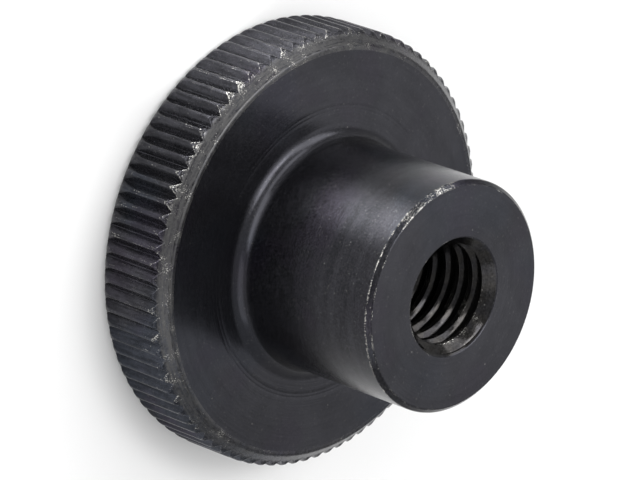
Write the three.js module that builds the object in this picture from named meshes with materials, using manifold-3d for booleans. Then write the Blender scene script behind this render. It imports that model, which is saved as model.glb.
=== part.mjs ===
// Knurled thumb nut, high type: a straight-knurled head and a plain round hub turned from one bar of
// steel, with a metric thread right through both. Millimetres. +Z runs along the thread axis from the
// head to the hub, and the origin is the centre of the head's flat back face, on which the nut stands.

import * as THREE from 'three';
import { mergeVertices } from 'three/addons/utils/BufferGeometryUtils.js';
import Module from 'manifold-3d';

// Driving dimensions
const threadDiameter = 8;
const threadPitch = 1.25;
const height = 18;
const headThickness = 5.83;
const headDiameter = 30.6; // over the crests of the knurl
const frontFaceDiameter = 28.6;
const backFaceDiameter = 29.3;
const hubDiameter = 16;

// Edges of the turned body
const headFrontChamfer = 0.65; // at 45 degrees, out from the front face
const crestRoundLength = 0.43; // how far back from that chamfer the knurl's crests are rounded off
const backRoundLength = 1.1; // how far from the back face its rounded edge reaches
const hubEndChamfer = 0.3;
const rootFillet = 1.0; // where the hub runs out of the head

// Straight knurl: V grooves parallel to the axis, with a crest on the +X axis
const toothCount = 90;
const grooveAngle = Math.PI / 2;
const grooveDepth = 0.45;

// Internal thread: a right-hand helix with 60 degree flanks, cut in a hole of the usual tap drill's
// size, with a 90 degree countersink at each mouth
const flankSlope = Math.tan(Math.PI / 6);
const minorRadius = 3.4;
const threadPhase = -50 * (Math.PI / 180); // where the groove's centre line crosses the back face
const mouthRadius = 4.14;

// Facets
const bodySegments = toothCount;
const threadSegments = 24;
const filletSteps = 5;
const backRoundSteps = 3;
const crestRoundSteps = 2;
const overrun = 1; // how far a cutter runs past the surface that it leaves

const wasm = await Module();
wasm.setup();

// A closed three.js geometry as a solid: shared corners are merged, and triangles that collapsed onto
// the axis of a lathe are dropped.
function toSolid(geometry) {
  const bare = geometry.clone();
  bare.deleteAttribute('normal');
  bare.deleteAttribute('uv');
  const merged = mergeVertices(bare);
  const corners = Array.from(merged.index.array);
  const kept = [];
  for (let i = 0; i < corners.length; i += 3) {
    const [a, b, c] = corners.slice(i, i + 3);
    if (a !== b && b !== c && c !== a) {
      kept.push(a, b, c);
    }
  }
  const mesh = new wasm.Mesh({
    numProp: 3,
    vertProperties: new Float32Array(merged.attributes.position.array),
    triVerts: new Uint32Array(kept),
  });
  return new wasm.Manifold(mesh);
}

function toGeometry(solid) {
  const mesh = solid.getMesh();
  const geometry = new THREE.BufferGeometry();
  geometry.setAttribute('position', new THREE.BufferAttribute(mesh.vertProperties, 3));
  geometry.setIndex(new THREE.BufferAttribute(mesh.triVerts, 1));
  geometry.computeVertexNormals();
  return geometry;
}

// A profile of [radius, z] points, starting and ending on the axis, turned about +Z.
function turned(profile, segments) {
  const points = profile.map(([radius, z]) => new THREE.Vector2(radius, z));
  return new THREE.LatheGeometry(points, segments).rotateX(Math.PI / 2);
}

// Points [radius, z] on a quarter of an ellipse, from its start angle to its end angle in degrees.
function ellipseArc([radius, z], radialReach, axialReach, startAngle, endAngle, steps) {
  const points = [];
  for (let i = 0; i <= steps; i++) {
    const angle = (startAngle + ((endAngle - startAngle) * i) / steps) * (Math.PI / 180);
    points.push([radius + radialReach * Math.cos(angle), z + axialReach * Math.sin(angle)]);
  }
  return points;
}

// The head and hub before knurling: a quarter-round fillet joins the head's front face to the hub.
function turnedBody() {
  const headRadius = headDiameter / 2;
  const hubRadius = hubDiameter / 2;
  const backRadius = backFaceDiameter / 2;
  const frontRadius = frontFaceDiameter / 2;
  const chamferRadius = frontRadius + headFrontChamfer;
  const chamferStart = headThickness - headFrontChamfer;
  const backRound = headRadius - backRadius;
  const crestRound = headRadius - chamferRadius;
  const profile = [
    [0, 0],
    ...ellipseArc([backRadius, backRoundLength], backRound, backRoundLength, -90, 0, backRoundSteps),
    ...ellipseArc(
      [chamferRadius, chamferStart - crestRoundLength],
      crestRound,
      crestRoundLength,
      0,
      90,
      crestRoundSteps,
    ),
    [frontRadius, headThickness],
    ...ellipseArc(
      [hubRadius + rootFillet, headThickness + rootFillet],
      rootFillet,
      rootFillet,
      -90,
      -180,
      filletSteps,
    ),
    [hubRadius, height - hubEndChamfer],
    [hubRadius - hubEndChamfer, height],
    [0, height],
  ];
  return turned(profile, bodySegments);
}

// One V groove of the knurl, a long prism that opens outwards along +X.
function knurlGroove() {
  const root = headDiameter / 2 - grooveDepth;
  const rim = headDiameter / 2 + overrun;
  const halfWidth = (rim - root) * Math.tan(grooveAngle / 2);
  const section = new THREE.Shape();
  section.moveTo(root, 0);
  section.lineTo(rim, -halfWidth);
  section.lineTo(rim, halfWidth);
  section.closePath();
  const depth = headThickness + 2 * overrun;
  return new THREE.ExtrudeGeometry(section, { depth, bevelEnabled: false }).translate(0, 0, -overrun);
}

// The drilled hole, which is the thread's minor diameter, with its two countersinks. Its facets
// lie half a facet round from the thread's, so that the two never share an edge line.
function boredHole() {
  const sinkDepth = mouthRadius - minorRadius;
  const profile = [
    [0, -overrun],
    [mouthRadius + overrun, -overrun],
    [minorRadius, sinkDepth],
    [minorRadius, height - sinkDepth],
    [mouthRadius + overrun, height + overrun],
    [0, height + overrun],
  ];
  return turned(profile, threadSegments).rotateZ(Math.PI / threadSegments);
}

// The thread's groove: a straight bar of the groove's section, wound round the axis. Along the bar,
// one unit of length is one radian of turn, and the section's x is the radius and its y runs down.
function threadGroove() {
  const majorRadius = threadDiameter / 2;
  const innerRadius = minorRadius - 0.2; // inside the hole, where one turn still clears the next
  const rootFlat = threadPitch / 8;
  const mouthHalf = rootFlat / 2 + (majorRadius - innerRadius) * flankSlope;
  const section = new THREE.Shape();
  section.moveTo(innerRadius, -mouthHalf);
  section.lineTo(majorRadius, -rootFlat / 2);
  section.lineTo(majorRadius, rootFlat / 2);
  section.lineTo(innerRadius, mouthHalf);
  section.closePath();

  const turns = Math.ceil(height / threadPitch) + 2;
  const bar = new THREE.ExtrudeGeometry(section, {
    depth: turns * 2 * Math.PI,
    steps: turns * threadSegments,
    bevelEnabled: false,
  });
  const position = bar.attributes.position;
  for (let i = 0; i < position.count; i++) {
    const radius = position.getX(i);
    const angle = position.getZ(i);
    const z = threadPitch * (angle / (2 * Math.PI) - 1) - position.getY(i);
    position.setXYZ(i, radius * Math.cos(angle), radius * Math.sin(angle), z);
  }
  return bar.rotateZ(threadPhase);
}

function knurledNut() {
  let solid = toSolid(turnedBody());
  const groove = knurlGroove();
  for (let i = 0; i < toothCount; i++) {
    const angle = ((i + 0.5) / toothCount) * 2 * Math.PI;
    solid = solid.subtract(toSolid(groove.clone().rotateZ(angle)));
  }
  solid = solid.subtract(toSolid(boredHole()));
  solid = solid.subtract(toSolid(threadGroove()));
  return toGeometry(solid);
}

const blackenedSteel = new THREE.MeshStandardMaterial({
  color: '#37373c',
  roughness: 0.42,
  metalness: 0.85,
  flatShading: true,
});

const nut = new THREE.Mesh(knurledNut(), blackenedSteel);
nut.name = 'knurled_nut';

const part = new THREE.Group();
part.add(nut);

export default part;
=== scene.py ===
"""Knurled thumb nut in blackened steel: the looks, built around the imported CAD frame.

One mesh stands for the CAD node. It is made of rings of points round the thread axis: a knurled rim, turned
faces, hub and fillet, and a bore whose columns follow the helix of the thread. Sizes in the code are in
millimetres and are turned into metres when the mesh is made.
"""

import math

import bpy
import numpy as np
from mathutils import Matrix, Vector


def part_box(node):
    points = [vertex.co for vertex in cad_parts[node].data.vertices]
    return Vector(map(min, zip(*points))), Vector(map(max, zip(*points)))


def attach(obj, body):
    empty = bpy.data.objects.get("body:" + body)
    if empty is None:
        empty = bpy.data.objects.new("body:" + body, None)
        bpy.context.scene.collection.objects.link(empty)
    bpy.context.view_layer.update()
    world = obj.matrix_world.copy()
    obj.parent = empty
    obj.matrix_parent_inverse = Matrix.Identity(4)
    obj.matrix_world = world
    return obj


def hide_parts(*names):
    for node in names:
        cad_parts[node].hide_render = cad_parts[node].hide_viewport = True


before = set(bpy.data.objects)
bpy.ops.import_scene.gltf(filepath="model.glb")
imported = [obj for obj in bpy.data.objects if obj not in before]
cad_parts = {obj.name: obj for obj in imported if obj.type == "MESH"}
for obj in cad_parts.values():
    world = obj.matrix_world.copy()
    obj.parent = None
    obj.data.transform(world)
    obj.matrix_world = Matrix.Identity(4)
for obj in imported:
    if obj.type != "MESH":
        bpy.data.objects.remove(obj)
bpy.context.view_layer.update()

MM = 0.001
NODE = "knurled_nut"

# The nut, in millimetres. The outer sizes come from the frame; the others repeat the CAD part's.
_, top_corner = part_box(NODE)
HEAD_RADIUS = top_corner.x / MM
HEIGHT = top_corner.z / MM
HEAD_THICKNESS = 5.83
HUB_RADIUS = 8.0
FRONT_FACE_RADIUS = 14.3
BACK_FACE_RADIUS = 14.65
FRONT_CHAMFER = 0.65
CREST_ROUND = 0.43
BACK_ROUND = 1.1
CREST_END = HEAD_THICKNESS - FRONT_CHAMFER  # height at which the knurl's crests run out
HUB_CHAMFER = 0.3
ROOT_FILLET = 1.0
TEETH = 90
GROOVE_DEPTH = 0.45
HALF_PITCH = math.pi * HEAD_RADIUS / TEETH  # half a tooth, along its crest's circle
HALF_LAND = HALF_PITCH - GROOVE_DEPTH  # half its flat crest, because the grooves' flanks are at 45 degrees
MAJOR_RADIUS = 4.0
MINOR_RADIUS = 3.4
MOUTH_RADIUS = 4.14
THREAD_PITCH = 1.25
THREAD_PHASE = math.radians(-50)
FLANK_SLOPE = math.tan(math.radians(30))

EDGE = 0.05  # how far from an edge the wear on it ends
CHAMFER_WEAR = 0.5  # over the whole of the head's front chamfer
WORN_SIDE = math.radians(255)  # the side where the outer edges are worn most
WORN_END = math.radians(226)  # where the hub's end chamfer is rubbed over its full width
# The thread's crests are partly worn bare and partly painted with bare steel as highlight, most on this
# side.
BORE_WEAR_AND_GLINT_SIDE = math.radians(40)  # the side where the thread's crests are worn most
RING_MARKS = (9.96, 10.2)  # radii of two fine lines that the facing tool left on the head
RING_MARK_DEPTH = 0.006
RIM_LEAD = 0.3  # how far the rim's rings run in over the head's front face
# Bare steel at the knurl's burrs is partly wear and partly a painted highlight of their glint.
BURR_GLINT_DROP = 0.06  # how far below the crests' end the worn burr of the knurl lies
BURR_GLINT_REACH = 0.12

# How finely the mesh is divided
TURNED_COLUMNS = 180
STRAIGHT_ROWS = 4
FILLET_ROWS = 17
FAR_KEY = 1e6  # past every key of a bore column

# Zones of the surface, which are the material slots of the mesh
FACE, HUB, KNURL, THREAD = range(4)


# ---------------------------------------------------------------- profiles and wear


def softened(points, sizes, steps=2):
    """A polyline with each inner corner drawn as a curve that starts and ends its size away."""
    points = [np.asarray(p, float) for p in points]
    out = [points[0]]
    for before, corner, after, size in zip(points, points[1:], points[2:], sizes):
        start = corner + unit(before - corner) * size
        end = corner + unit(after - corner) * size
        for t in np.linspace(0, 1, steps + 1) if size else [0.5]:
            out.append(start * (1 - t) ** 2 + corner * 2 * t * (1 - t) + end * t**2)
    out.append(points[-1])
    return out


def worn_profile(stretches, sizes, wears):
    """Rows of (place, wear) along stretches that meet at corners. A stretch is a list of places.

    Each corner is rounded off by its size and holds its wear, which ends EDGE away on either side.
    """
    rows = []
    for i, part in enumerate(stretches):
        places = [np.asarray(p, float) for p in part]
        first, last = places[0], places[-1]
        if i > 0:
            places[0] = first + unit(places[1] - first) * (sizes[i - 1] + EDGE)
        if i < len(sizes):
            places[-1] = last + unit(places[-2] - last) * (sizes[i] + EDGE)
        rows += [(place, 0.0) for place in places]
        if i < len(sizes):
            after = np.asarray(stretches[i + 1][1], float)
            curve = softened([places[-1], last, after], [sizes[i]])[1:-1]
            rows += [(place, wears[i]) for place in curve]
    return rows


def quarter_ellipse(centre, reach_r, reach_z, start, end, steps):
    """Points (radius, z) on an ellipse from one angle to another, in degrees."""
    turn = np.radians(np.linspace(start, end, steps + 1))
    return np.stack([centre[0] + reach_r * np.cos(turn), centre[1] + reach_z * np.sin(turn)], -1)


def stretch(curve, start_radius, end_radius, count):
    """count + 1 rows of places evenly along a curve, between two radii that may be arrays.

    The curve's radius rises or falls all the way.
    """
    lengths = np.concatenate([[0], np.cumsum(np.linalg.norm(np.diff(curve, axis=0), axis=1))])
    order = np.argsort(curve[:, 0])
    start, end = (np.interp(r, curve[order, 0], lengths[order]) for r in (start_radius, end_radius))
    rows = []
    for t in np.linspace(0, 1, count + 1):
        at = start + (end - start) * t
        rows.append(np.stack([np.interp(at, lengths, column) for column in curve.T], -1))
    return rows


def unit(v):
    return v / np.linalg.norm(v, axis=-1, keepdims=True)


def between(a, b, count):
    """count points evenly spaced from a to b, both left out."""
    return [a + (b - a) * i / (count + 1) for i in range(1, count + 1)]


def towards(angles, side):
    """1 on one side of the nut, falling to -1 on the other."""
    return np.cos(np.asarray(angles) - side)


def side_wear(angles):
    """What the wear of an outer edge is scaled by: 1 on the worn side, falling to a half on the other."""
    return 0.75 + 0.25 * towards(angles, WORN_SIDE)


# ---------------------------------------------------------------- the mesh under construction


class Shell:
    """Vertices with a value each of wear and painted glint, and faces with a zone each."""

    def __init__(self):
        self.points = []
        self.wear_and_glint = []
        self.faces = []
        self.zones = []

    def line(self, radii, heights, angles, wear_and_glint):
        """Adds points at those cylindrical places and returns their indices."""
        first = len(self.points)
        radii, heights, angles, wear_and_glint = np.broadcast_arrays(radii, heights, angles, wear_and_glint)
        for r, z, a, w in zip(radii, heights, angles, wear_and_glint):
            self.points.append((r * math.cos(a), r * math.sin(a), z))
            self.wear_and_glint.append(w)
        return list(range(first, len(self.points)))

    def face(self, corners, zone):
        self.faces.append(corners)
        self.zones.append(zone)

    def zip(self, a, keys_a, b, keys_b, zone):
        """Fills the strip between two lines of points, each with rising keys, matching them by key."""
        i = j = 0
        while i < len(a) - 1 or j < len(b) - 1:
            next_a = keys_a[i + 1] if i < len(a) - 1 else math.inf
            next_b = keys_b[j + 1] if j < len(b) - 1 else math.inf
            if abs(next_a - next_b) < 1e-6:
                self.face((a[i], a[i + 1], b[j + 1], b[j]), zone)
                i, j = i + 1, j + 1
            elif next_a < next_b:
                self.face((a[i], a[i + 1], b[j]), zone)
                i += 1
            else:
                self.face((a[i], b[j + 1], b[j]), zone)
                j += 1

    def ring_strip(self, a, angles_a, b, angles_b, zone):
        """Fills the strip between two closed rings."""
        keys_a = [*angles_a, angles_a[0] + 2 * math.pi]
        keys_b = [*angles_b, angles_b[0] + 2 * math.pi]
        self.zip(a + a[:1], keys_a, b + b[:1], keys_b, zone)


# ---------------------------------------------------------------- knurled rim


def tooth_section():
    """One tooth from groove to groove, as (arc length from the crest, depth below the crest)."""
    flank = 0.07  # how far from its corners a flank is flat
    root, crest = 0.04, 0.05
    outline = [
        (-HALF_PITCH - root, GROOVE_DEPTH - root),
        (-HALF_PITCH, GROOVE_DEPTH),
        (-HALF_PITCH + flank, GROOVE_DEPTH - flank),
        (-HALF_LAND - flank, flank),
        (-HALF_LAND, 0),
        (HALF_LAND, 0),
        (HALF_LAND + flank, flank),
        (HALF_PITCH - flank, GROOVE_DEPTH - flank),
        (HALF_PITCH, GROOVE_DEPTH),
        (HALF_PITCH + root, GROOVE_DEPTH - root),
    ]
    section = softened(outline, (root, 0, 0, crest, crest, 0, 0, root))
    return section[2:-3]  # from the bottom of one groove to just before the bottom of the next


def rim_columns(rng):
    """The angle and depth of each column of points round the rim, and the wear of its crest's edges."""
    section = np.array(tooth_section())
    edge_wear = np.clip(1 - np.abs(np.abs(section[:, 0]) - HALF_LAND) / 0.02, 0, 1)
    angles, depths, wears = [], [], []
    for tooth in range(TEETH):
        centre = 2 * math.pi * tooth / TEETH + rng.normal(0, 0.0006)
        angles.append(centre + section[:, 0] / HEAD_RADIUS)
        depths.append(section[:, 1] * rng.normal(1, 0.02))
        wears.append(edge_wear * rng.uniform(0.5, 0.95))
    return np.concatenate(angles), np.concatenate(depths), np.concatenate(wears)


def add_rim(shell, rng):
    """Rings from the back face over the knurl to the front face. Returns the end rings and their angles."""
    angles, depth, edge_wear = rim_columns(rng)
    radius = HEAD_RADIUS - depth
    back_width = HEAD_RADIUS - BACK_FACE_RADIUS
    back_curve = quarter_ellipse((BACK_FACE_RADIUS, BACK_ROUND), back_width, BACK_ROUND, -90, 0, 40)
    chamfer_radius = FRONT_FACE_RADIUS + FRONT_CHAMFER
    crest_curve = quarter_ellipse(
        (chamfer_radius, CREST_END - CREST_ROUND), HEAD_RADIUS - chamfer_radius, CREST_ROUND, 0, 90, 20
    )
    front_curve = np.concatenate([crest_curve, [(FRONT_FACE_RADIUS, HEAD_THICKNESS)]])

    back = stretch(back_curve, np.full_like(radius, BACK_FACE_RADIUS), radius, 7)
    front = stretch(front_curve, radius, np.full_like(radius, FRONT_FACE_RADIUS), 9)
    straight = [back[-1], *between(back[-1], front[0], STRAIGHT_ROWS), front[0]]
    lead = np.array([RIM_LEAD, 0.0])
    stretches = [back, straight, front, [front[-1], front[-1] - lead]]
    # The wear at the knurl's back edge (0.45) is partly real and partly painted reflection: bare steel
    # stands in for the glint of the rounding.
    rows = worn_profile(stretches, sizes=(0.03, 0.05, 0.1), wears=(0.45, 0.8, 0.5))
    near_crest = np.clip(1 - depth / 0.3, 0, 1)
    on_side = side_wear(angles)
    rings = []
    for place, wear_and_glint in rows:
        on_rim = np.abs(place[:, 0] - radius) < 0.03
        # Bare steel along the burr below the crests' end: partly wear, partly painted highlight.
        from_burr = np.abs(place[:, 1] - CREST_END + BURR_GLINT_DROP)
        burr_glint = 0.95 * near_crest * np.clip(1 - from_burr / BURR_GLINT_REACH, 0, 1)
        if place[0, 1] > CREST_END + 0.1:
            wear_and_glint = max(wear_and_glint, CHAMFER_WEAR)
        worn = np.maximum(np.where(on_rim, edge_wear, 0), np.maximum(wear_and_glint, burr_glint))
        rings.append(shell.line(place[:, 0], place[:, 1], angles, worn * on_side))
    for a, b in zip(rings, rings[1:]):
        shell.ring_strip(a, angles, b, angles, KNURL)
    return rings[0], rings[-1], angles


# ---------------------------------------------------------------- turned surfaces


def turned_angles():
    return [2 * math.pi * i / TURNED_COLUMNS for i in range(TURNED_COLUMNS)]


def add_turned(shell, profile, wear_and_glint, zones):
    """Rings of a turned surface along a profile of (radius, z) points."""
    angles = turned_angles()
    on_side = side_wear(angles)
    rubbed_end = np.interp(towards(angles, WORN_END), (0.92, 0.97), (0, 0.72))
    rings = []
    for (r, z), w in zip(profile, wear_and_glint):
        on_chamfer = r > HUB_RADIUS - HUB_CHAMFER - EDGE and HEIGHT - HUB_CHAMFER - EDGE < z < HEIGHT - 0.01
        worn = np.maximum(w * on_side, rubbed_end if on_chamfer else 0)
        rings.append(shell.line(r, z, angles, worn))
    for a, b, zone in zip(rings, rings[1:], zones):
        shell.ring_strip(a, angles, b, angles, zone)
    return rings


def back_face(shell):
    """From the bore's mouth out to the rim's first ring."""
    lip = [(MOUTH_RADIUS - 0.2, 0.2), (MOUTH_RADIUS, 0)]
    face = [(r, 0) for r in np.linspace(MOUTH_RADIUS, BACK_FACE_RADIUS - 0.1, 8)]
    rows = worn_profile([lip, face], sizes=(0.04,), wears=(0.7,))[1:]
    profile, wear_and_glint = zip(*rows)
    return add_turned(shell, profile, wear_and_glint, [FACE] * len(rows))


def ring_mark(radius):
    """A fine scored line in the head's front face."""
    half = 0.035
    bottom = HEAD_THICKNESS - RING_MARK_DEPTH
    return [(radius + half, HEAD_THICKNESS), (radius, bottom), (radius - half, HEAD_THICKNESS)]


def front_face(shell):
    """From the rim's last ring over the face, fillet, hub and end face to the bore's mouth."""
    fillet_radius = HUB_RADIUS + ROOT_FILLET
    outer_radius = FRONT_FACE_RADIUS - RIM_LEAD - 0.15
    outer = [(r, HEAD_THICKNESS) for r in np.linspace(outer_radius, max(RING_MARKS) + 0.3, 5)]
    marks = [point for radius in sorted(RING_MARKS, reverse=True) for point in ring_mark(radius)]
    inner = [(r, HEAD_THICKNESS) for r in np.linspace(min(RING_MARKS) - 0.3, fillet_radius + 0.1, 3)]
    centre = (fillet_radius, HEAD_THICKNESS + ROOT_FILLET)
    fillet = quarter_ellipse(centre, ROOT_FILLET, ROOT_FILLET, -90, -180, FILLET_ROWS)
    hub = [(HUB_RADIUS, z) for z in np.linspace(fillet[-1][1] + 0.1, HEIGHT - HUB_CHAMFER, 9)]
    chamfer = [(HUB_RADIUS, HEIGHT - HUB_CHAMFER), (HUB_RADIUS - HUB_CHAMFER, HEIGHT)]
    end = [(r, HEIGHT) for r in np.linspace(HUB_RADIUS - HUB_CHAMFER, MOUTH_RADIUS, 7)]
    lip = [(MOUTH_RADIUS, HEIGHT), (MOUTH_RADIUS - 0.2, HEIGHT - 0.2)]
    side = [*outer, *marks, *inner, *fillet, *hub]
    stretches = [side, chamfer, end, lip]
    rows = worn_profile(stretches, sizes=(0.05, 0.05, 0.04), wears=(0.85, 0.75, 0.6))[:-1]
    profile, wear_and_glint = zip(*rows)
    hub_from = len(outer) + len(marks) + len(inner) + len(fillet)
    end_from = next(i for i, (_, z) in enumerate(profile) if z >= HEIGHT)
    zones = [HUB if hub_from <= i < end_from else FACE for i in range(1, len(profile))]
    return add_turned(shell, profile, wear_and_glint, zones)


# ---------------------------------------------------------------- threaded bore


def thread_turn():
    """One turn of the thread's profile, as (height from the groove's centre, radius), with soft crests."""
    root = THREAD_PITCH / 16
    mouth = root + (MAJOR_RADIUS - MINOR_RADIUS) * FLANK_SLOPE
    outline = [
        (-THREAD_PITCH / 2, MINOR_RADIUS),
        (-mouth, MINOR_RADIUS),
        (-root, MAJOR_RADIUS),
        (root, MAJOR_RADIUS),
        (mouth, MINOR_RADIUS),
        (THREAD_PITCH / 2, MINOR_RADIUS),
    ]
    return np.array(softened(outline, (0.03, 0, 0, 0.03))[:-1])


def sink_radius(z):
    """Radius of the countersinks at a height, which is far inside the thread away from the mouths."""
    return MOUTH_RADIUS - min(z, HEIGHT - z)


def bore_column(angle, turn):
    """Points (key, radius, z) up one side of the bore: the deeper of the thread and the countersinks."""
    low, high = 0.1, HEIGHT - 0.1
    shift = THREAD_PITCH * ((angle - THREAD_PHASE) / (2 * math.pi))
    strand = []
    for n in range(-2, int(HEIGHT / THREAD_PITCH) + 2):
        for i, (dz, r) in enumerate(turn):
            strand.append((n * len(turn) + i, r, shift + n * THREAD_PITCH + dz))
    out = []
    for (key, r, z), (_, next_r, next_z) in zip(strand, strand[1:]):
        over, next_over = r - sink_radius(z), next_r - sink_radius(next_z)
        if over > 0 and low < z < high:
            out.append((key, r, z))
        if (over > 0) != (next_over > 0):
            t = over / (over - next_over)
            cross_z = z + (next_z - z) * t
            if low < cross_z < high:
                out.append((key + t, r + (next_r - r) * t, cross_z))
    return out


def add_bore(shell, bottom_ring, top_ring):
    """Columns from the bottom mouth's ring to the top one's, each joined to the next."""
    turn = thread_turn()
    crest = MINOR_RADIUS + 0.02
    columns = []
    for angle in turned_angles():
        keys, radii, heights = zip(*bore_column(angle, turn))
        # Bare steel on the crests: partly wear, partly painted highlight, strongest towards one side of the
        # bore.
        crest_wear_and_glint = 0.35 + 0.35 * towards(angle, BORE_WEAR_AND_GLINT_SIDE)
        wear_and_glint = [crest_wear_and_glint if r < crest else 0.0 for r in radii]
        columns.append((list(keys), shell.line(radii, heights, angle, wear_and_glint)))
    # One turn round, the last column's strands meet the first column's, one pitch further on.
    first_keys, first_line = columns[0]
    columns.append(([key - len(turn) for key in first_keys], first_line))
    for i in range(TURNED_COLUMNS):
        j = (i + 1) % TURNED_COLUMNS
        (keys_a, line_a), (keys_b, line_b) = columns[i], columns[i + 1]
        shell.zip(
            [bottom_ring[i], *line_a, top_ring[i]],
            [-math.inf, *keys_a, FAR_KEY],
            [bottom_ring[j], *line_b, top_ring[j]],
            [-math.inf, *keys_b, FAR_KEY],
            THREAD,
        )


# ---------------------------------------------------------------- the whole nut


def nut_mesh():
    rng = np.random.default_rng(7)
    shell = Shell()
    back = back_face(shell)
    rim_back, rim_front, rim_angles = add_rim(shell, rng)
    front = front_face(shell)
    angles = turned_angles()
    shell.ring_strip(back[-1], angles, rim_back, rim_angles, FACE)
    shell.ring_strip(rim_front, rim_angles, front[0], angles, FACE)
    add_bore(shell, back[0], front[-1])

    mesh = bpy.data.meshes.new("nut_body")
    mesh.from_pydata([Vector(p) * MM for p in shell.points], [], shell.faces)
    mesh.polygons.foreach_set("material_index", shell.zones)
    wear_and_glint = mesh.attributes.new("wear_and_glint", "FLOAT", "POINT")
    wear_and_glint.data.foreach_set("value", np.array(shell.wear_and_glint, np.float32))
    mesh.validate()
    mesh.shade_smooth()
    mesh.set_sharp_from_angle(angle=math.radians(35))
    return mesh


# ---------------------------------------------------------------- material


class Graph:
    """Short ways to make and join one material's shader nodes."""

    def __init__(self, name):
        self.material = bpy.data.materials.new(name)
        self.material.use_nodes = True
        self.tree = self.material.node_tree
        self.shader = self.tree.nodes["Principled BSDF"]

    def node(self, kind, inputs=(), **settings):
        made = self.tree.nodes.new(kind)
        for key, value in settings.items():
            setattr(made, key, value)
        for key, value in dict(inputs).items():
            self.feed(made.inputs[key], value)
        return made

    def feed(self, socket, value):
        if isinstance(value, bpy.types.NodeSocket):
            self.tree.links.new(value, socket)
        else:
            socket.default_value = value

    def math(self, operation, *values):
        made = self.node("ShaderNodeMath", enumerate(values), operation=operation)
        return made.outputs[0]

    def weighted(self, *parts):
        """The sum of the values in (value, weight) pairs."""
        total = 0.0
        for value, weight in parts:
            total = self.math("MULTIPLY_ADD", value, weight, total)
        return total

    def ramp(self, value, low, high, out_low=0.0, out_high=1.0):
        """value from low to high becomes out_low to out_high, held at both ends and smooth between."""
        inputs = {"Value": value, "From Min": low, "From Max": high, "To Min": out_low, "To Max": out_high}
        made = self.node("ShaderNodeMapRange", inputs, interpolation_type="SMOOTHSTEP")
        return made.outputs[0]

    def noise(self, vector, scale, detail=2.0, roughness=0.5):
        inputs = {"Vector": vector, "Scale": scale, "Detail": detail, "Roughness": roughness}
        return self.node("ShaderNodeTexNoise", inputs).outputs["Fac"]

    def mix(self, factor, a, b, blend_type="MIX"):
        """Mixes two colours. The node's colour sockets are its inputs 6 and 7 and its output 2."""
        made = self.node("ShaderNodeMix", data_type="RGBA", blend_type=blend_type)
        self.feed(made.inputs["Factor"], factor)
        self.feed(made.inputs[6], a)
        self.feed(made.inputs[7], b)
        return made.outputs[2]


OXIDE = (0.0400, 0.0400, 0.0465, 1)
OXIDE_DARK = (0.0330, 0.0330, 0.0385, 1)
OXIDE_BLUE = (0.030, 0.038, 0.053, 1)
OXIDE_VIOLET = (0.044, 0.036, 0.053, 1)
OXIDE_BROWN = (0.056, 0.050, 0.037, 1)
RUBBED_STEEL = (0.083, 0.082, 0.083, 1)
# Bare steel, which is also painted highlight on the knurl's back edge and burrs and on the thread's crests.
BARE_STEEL_AND_GLINT = (0.42, 0.41, 0.385, 1)

# How deep the oxide's own grain is beside the marks of each kind of cut
GRAIN_DEPTH = {"faced": 0.4, "turned": 1.6, "tapped": 0.3, "knurled": 0.15}
BUMP_DISTANCE = 5e-6  # metres that a height of 1 stands proud


def stretched(g, mm, across, along, along_scale):
    """Places squeezed so that noise in them is drawn out into streaks.

    across is the scale round the axis, and along, the radius or the height, is scaled by along_scale.
    """
    x, y, _ = g.node("ShaderNodeSeparateXYZ", {0: mm}).outputs
    squeezed = (g.math("MULTIPLY", v, k) for v, k in ((x, across), (y, across), (along, along_scale)))
    return g.node("ShaderNodeCombineXYZ", enumerate(squeezed)).outputs[0]


def oxide_colour(g, mm, tint, brown):
    """Black oxide with soft clouds.

    tint is the strength of a thin film's blue and violet, and brown that of the brown over rough cuts.
    """
    clouds = g.ramp(g.noise(mm, 0.35, 3.0), 0.35, 0.65)
    colour = g.mix(clouds, OXIDE, OXIDE_DARK)
    blue = g.ramp(g.noise(mm, 0.11, 2.0), 0.5, 0.62, 0, tint)
    violet = g.ramp(g.noise(mm, 0.17, 2.0), 0.53, 0.66, 0, tint)
    colour = g.mix(violet, g.mix(blue, colour, OXIDE_BLUE), OXIDE_VIOLET)
    browned = g.ramp(g.noise(mm, 0.9, 2.0), 0.38, 0.6, 0.4 * brown, brown)
    return g.mix(browned, colour, OXIDE_BROWN)


def bare_and_glinting_places(g, mm):
    """How bare the steel is: edges chipped more in some stretches than others, specks and faint pits. On
    the knurl's back edge and burrs and on the thread's crests the bare steel is partly painted highlight.
    """
    worn = g.node("ShaderNodeAttribute", attribute_name="wear_and_glint").outputs["Fac"]
    patches = g.noise(mm, 0.9, 2.0)
    chips = g.weighted((g.noise(mm, 12.0, 2.0, 0.65), 1.0), (patches, 0.7))
    needed = g.ramp(worn, 0.0, 1.0, 1.15, 0.86)
    edge = g.ramp(g.math("SUBTRACT", chips, needed), 0.0, 0.08)
    edge = g.math("MULTIPLY", edge, g.ramp(worn, 0.02, 0.2))
    cells = g.node("ShaderNodeTexVoronoi", {"Vector": mm, "Scale": 1.1})
    tone = g.node("ShaderNodeSeparateColor", {0: cells.outputs["Color"]}).outputs[0]
    dots = g.ramp(cells.outputs["Distance"], 0.03, 0.07, 0.4, 0)
    specks = g.math("MULTIPLY", dots, g.ramp(tone, 0.62, 0.75))
    pits = g.ramp(g.noise(mm, 6.0, 1.0), 0.66, 0.76, 0, 0.11)
    return g.math("MAXIMUM", edge, g.math("MAXIMUM", specks, pits))


def tool_marks(g, mm, along, stroke):
    """Height of the lines that a tool leaves one after another: short strokes and broad rings."""
    strokes = g.noise(stretched(g, mm, 1 / stroke, along, 11.0), 1.0, 3.0, 0.6)
    rings = g.noise(stretched(g, mm, 0.08, along, 2.2), 1.0, 3.0)
    return g.weighted((strokes, 1.0), (rings, 0.9))


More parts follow.
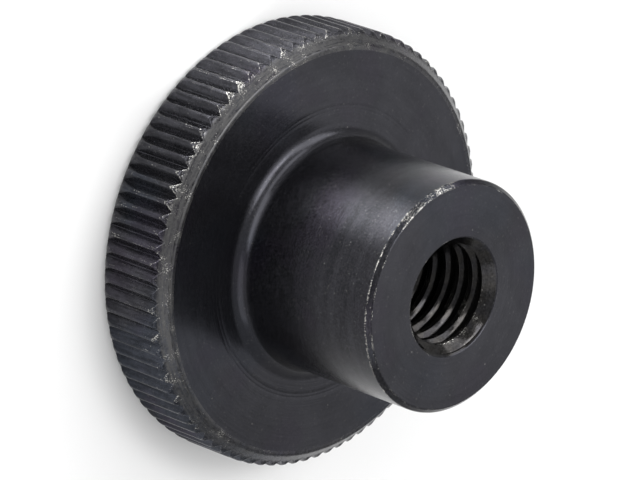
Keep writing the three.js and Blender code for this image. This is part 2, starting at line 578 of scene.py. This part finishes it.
def rubbed_places(g, mm, x, y, z):
    """How far the oxide is rubbed grey, in fine streaks and grains round the head's front chamfer."""
    rings = g.noise(stretched(g, mm, 0.7, z, 11.0), 1.0, 3.0, 0.7)
    grains = g.noise(mm, 5.0, 3.0, 0.7)
    lines = g.ramp(g.weighted((rings, 1.0), (grains, 0.5)), 0.58, 0.92, 0.3, 1.2)
    reach_x = g.math("MULTIPLY", x, math.cos(WORN_SIDE) / HEAD_RADIUS)
    reach_y = g.math("MULTIPLY", y, math.sin(WORN_SIDE) / HEAD_RADIUS)
    side = g.ramp(g.math("ADD", reach_x, reach_y), -0.5, 0.9, 0.3, 1.0)
    on_chamfer = g.ramp(z, CREST_END - 0.03, CREST_END + 0.05)
    return g.math("MULTIPLY", on_chamfer, g.math("MULTIPLY", lines, side))


def blackened_steel(
    name, marks, stroke=1.0, streak=0.16, drawn=0.0, tint=0.25, brown=0.0, rough=0.25, painted_shade_scale=1.0
):
    """Black oxide over steel.

    marks are the cut's: "faced" rings, "turned" lines round the hub, "tapped" lines round the bore, or the
    "knurled" drags along the teeth. stroke is the length of the lines in millimetres, streak how far they
    change the tone, and drawn how far they stretch the highlights. tint and brown are the strengths of the
    film's colours, rough is its roughness, and the last argument scales its tone: below 1 it is painted
    shade.
    """
    g = Graph(name)
    place = g.node("ShaderNodeTexCoord").outputs["Object"]
    mm = g.node("ShaderNodeVectorMath", {0: place, "Scale": 1 / MM}, operation="SCALE").outputs[0]
    x, y, z = g.node("ShaderNodeSeparateXYZ", {0: mm}).outputs

    grain = g.noise(mm, 7.0, 3.0, 0.65)
    mottle = g.noise(mm, 2.2, 3.0, 0.6)
    grain_depth = GRAIN_DEPTH[marks]
    if marks == "knurled":
        drags = g.noise(stretched(g, mm, 5.0, z, 0.5), 1.0, 3.0, 0.6)
        height = g.weighted((grain, grain_depth), (drags, 0.6))
        shade = g.weighted((drags, 0.7), (mottle, 0.3))
    else:
        radius = g.math("SQRT", g.math("ADD", g.math("MULTIPLY", x, x), g.math("MULTIPLY", y, y)))
        cuts = tool_marks(g, mm, radius if marks == "faced" else z, stroke)
        height = g.weighted((grain, grain_depth), (cuts, 1.0))
        shade = g.weighted((cuts, 0.2), (mottle, 0.14), (grain, 0.48))
    bump = g.node("ShaderNodeBump", {"Height": height, "Distance": BUMP_DISTANCE, "Strength": 1.0})

    # The whole tone is scaled down here as painted shade on the hub and in the bore.
    tone = g.ramp(shade, 0.36, 0.64, painted_shade_scale * (1 - streak), painted_shade_scale * (1 + streak))
    grey = g.node("ShaderNodeCombineColor", {0: tone, 1: tone, 2: tone}).outputs[0]
    colour = g.mix(1.0, oxide_colour(g, mm, tint, brown), grey, "MULTIPLY")
    roughness = g.ramp(grain, 0.3, 0.7, rough - 0.04, rough + 0.05)
    if marks == "knurled":
        grey_places = rubbed_places(g, mm, x, y, z)
        colour = g.mix(grey_places, colour, RUBBED_STEEL)
        roughness = g.math("ADD", roughness, g.math("MULTIPLY", grey_places, 0.15))
    colour = g.mix(bare_and_glinting_places(g, mm), colour, BARE_STEEL_AND_GLINT)

    g.feed(g.shader.inputs["Base Color"], colour)
    g.feed(g.shader.inputs["Roughness"], roughness)
    g.feed(g.shader.inputs["Normal"], bump.outputs[0])
    g.shader.inputs["Metallic"].default_value = 0.88
    if drawn:
        g.shader.inputs["Anisotropic"].default_value = drawn
        g.shader.inputs["Anisotropic Rotation"].default_value = 0.25
        tangent = g.node("ShaderNodeTangent", direction_type="RADIAL", axis="Z")
        g.feed(g.shader.inputs["Tangent"], tangent.outputs[0])
    return g.material


# ---------------------------------------------------------------- piece


def add_object(name, data):
    made = bpy.data.objects.new(name, data)
    bpy.context.scene.collection.objects.link(made)
    return made


def make_nut():
    nut = add_object("nut_body", nut_mesh())
    materials = [
        blackened_steel("steel_faced", "faced", stroke=4.0, drawn=0.5, tint=0.2, rough=0.22),
        # The hub's tone is darkened to 0.73 as painted shade.
        blackened_steel(
            "steel_turned", "turned", stroke=0.9, streak=0.48, drawn=0.7, tint=0.45, rough=0.22, painted_shade_scale=0.73
        ),
        blackened_steel("steel_knurled", "knurled", streak=0.35, tint=0.45, rough=0.24),
        # The bore's tone is darkened to 0.7 as painted shade.
        blackened_steel("steel_tapped", "tapped", stroke=1.6, streak=0.5, brown=0.4, rough=0.13, painted_shade_scale=0.7),
    ]
    for material in materials:  # in the order of the zones
        nut.data.materials.append(material)
    return nut


# ---------------------------------------------------------------- camera, floor and light

# The direction from the nut to the camera, as azimuth and elevation, then the roll that lays the thread's
# axis across the picture. The distance, and the point aimed at, are in millimetres.
VIEW_AZIMUTH = math.radians(0.5)
VIEW_ELEVATION = math.radians(42.14)
VIEW_ROLL = math.radians(109.4)
VIEW_DISTANCE = 373.9
VIEW_AIM = Vector((-0.6, -4.4, 9.0))
LENS_MM = 315.8


def make_camera():
    data = bpy.data.cameras.new("camera")
    data.lens = LENS_MM
    data.clip_start, data.clip_end = 0.01, 10
    camera = add_object("camera", data)
    flat = math.cos(VIEW_ELEVATION)
    back = Vector((math.sin(VIEW_AZIMUTH) * flat, -math.cos(VIEW_AZIMUTH) * flat, math.sin(VIEW_ELEVATION)))
    camera.location = (VIEW_AIM + back * VIEW_DISTANCE) * MM
    level = (-back).to_track_quat("-Z", "Y").to_matrix()
    camera.rotation_euler = (level @ Matrix.Rotation(VIEW_ROLL, 3, "Z")).to_euler()
    bpy.context.scene.camera = camera


def make_floor():
    mesh = bpy.data.meshes.new("floor")
    half = 3.0
    corners = [(-half, -half, 0), (half, -half, 0), (half, half, 0), (-half, half, 0)]
    mesh.from_pydata(corners, [], [(0, 1, 2, 3)])
    floor = add_object("floor", mesh)
    g = Graph("floor_white")
    g.shader.inputs["Base Color"].default_value = (0.8, 0.8, 0.8, 1)
    g.shader.inputs["Roughness"].default_value = 0.9
    g.shader.inputs["Emission Color"].default_value = (1, 1, 1, 1)
    g.shader.inputs["Emission Strength"].default_value = 0.06
    mesh.materials.append(g.material)


def direction(azimuth, elevation):
    """The unit vector at an angle round from +X and an angle above the floor, in degrees."""
    a, e = math.radians(azimuth), math.radians(elevation)
    return Vector((math.cos(a) * math.cos(e), math.sin(a) * math.cos(e), math.sin(e)))


def softbox(name, azimuth, elevation, width, height, brightness):
    """A soft rectangular lamp that faces the nut, with angular width and height in degrees."""
    distance = 0.35
    data = bpy.data.lights.new(name, "AREA")
    data.shape = "RECTANGLE"
    data.size = 2 * distance * math.tan(math.radians(width / 2))
    data.size_y = 2 * distance * math.tan(math.radians(height / 2))
    data.energy = brightness * math.pi * data.size * data.size_y
    lamp = add_object(name, data)
    lamp.location = direction(azimuth, elevation) * distance + Vector((0, 0, HEIGHT / 2 * MM))
    lamp.rotation_euler = direction(azimuth, elevation).to_track_quat("Z", "Y").to_euler()
    lamp.visible_camera = False


def pool(name, azimuth, reach, cone, power):
    """A spot lamp, cone degrees wide, on a patch of floor that is reach millimetres out from the axis."""
    distance = 0.12
    slant = direction(azimuth, 60)
    data = bpy.data.lights.new(name, "SPOT")
    data.energy = power
    data.spot_size = math.radians(cone)
    data.spot_blend = 0.6
    data.shadow_soft_size = 0.005
    lamp = add_object(name, data)
    lamp.location = direction(azimuth, 0) * reach * MM + slant * distance
    lamp.rotation_euler = slant.to_track_quat("Z", "Y").to_euler()


def make_light():
    world = bpy.data.worlds.new("studio")
    bpy.context.scene.world = world
    world.use_nodes = True
    background = world.node_tree.nodes["Background"]
    background.inputs["Color"].default_value = (1, 1, 1, 1)
    background.inputs["Strength"].default_value = 0.53
    # Azimuth, elevation, width, height and brightness
    softbox("key", 235, 24, 90, 20, 2.3)
    softbox("side", 168, 43, 26, 44, 2.8)
    softbox("high", 202, 68, 28, 18, 5.4)
    softbox("front", 265, 5, 50, 20, 2.2)
    softbox("top", 130, 72, 50, 26, 1.2)
    softbox("fill", 106, 44, 32, 20, 0.7)
    softbox("right", 330, 32, 50, 34, 0.9)
    pool("pool", azimuth=228, reach=32, cone=11, power=5.3)


nut = make_nut()
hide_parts(NODE)
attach(nut, "root")
make_camera()
make_floor()
make_light()
bpy.context.scene.view_settings.view_transform = "Standard"
